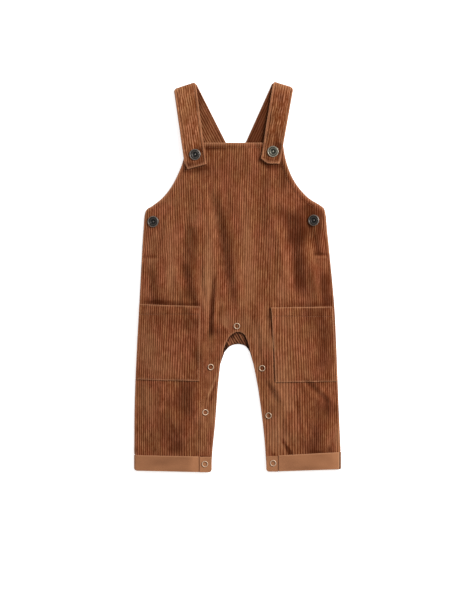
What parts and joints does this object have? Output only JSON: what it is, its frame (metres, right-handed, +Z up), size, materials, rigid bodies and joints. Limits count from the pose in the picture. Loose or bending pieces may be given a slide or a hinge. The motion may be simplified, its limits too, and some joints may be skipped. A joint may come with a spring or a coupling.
{
  "type": "toddler overalls",
  "caption": "Toddler overalls in wide-wale corduroy, laid flat: bib, buttoned shoulder straps, patch pockets, snap inseams and turned-up twill cuffs.",
  "frame": {"origin": "middle of the garment's bounding box, on the surface it lies on", "axes": "+X to the right as seen from above, +Y towards the shoulder straps, +Z up out of the surface"},
  "size_m": [0.2978, 0.5616, 0.0151],
  "materials": {
    "corduroy": "brown wide-wale cotton corduroy, soft nap",
    "twill": "tan cotton twill facing, matt",
    "button_metal": "antique gunmetal tack button",
    "snap_metal": "pale nickel ring snap"
  },
  "bodies": {
    "root": {"front_panel": "corduroy", "back_panel": "corduroy", "back_crotch_facing": "corduroy", "pocket_left": "corduroy", "pocket_right": "corduroy", "strap_left": "corduroy", "strap_right": "corduroy", "cuff_left": "twill", "cuff_tab_left": "twill", "cuff_right": "twill", "cuff_tab_right": "twill", "button_strap_left": "button_metal", "button_strap_right": "button_metal", "button_side_left": "button_metal", "button_side_right": "button_metal", "snap_crotch": "snap_metal", "snap_left_upper": "snap_metal", "snap_left_lower": "snap_metal", "snap_left_cuff": "snap_metal", "snap_right_upper": "snap_metal", "snap_right_lower": "snap_metal", "snap_right_cuff": "snap_metal"}
  },
  "joints": []
}
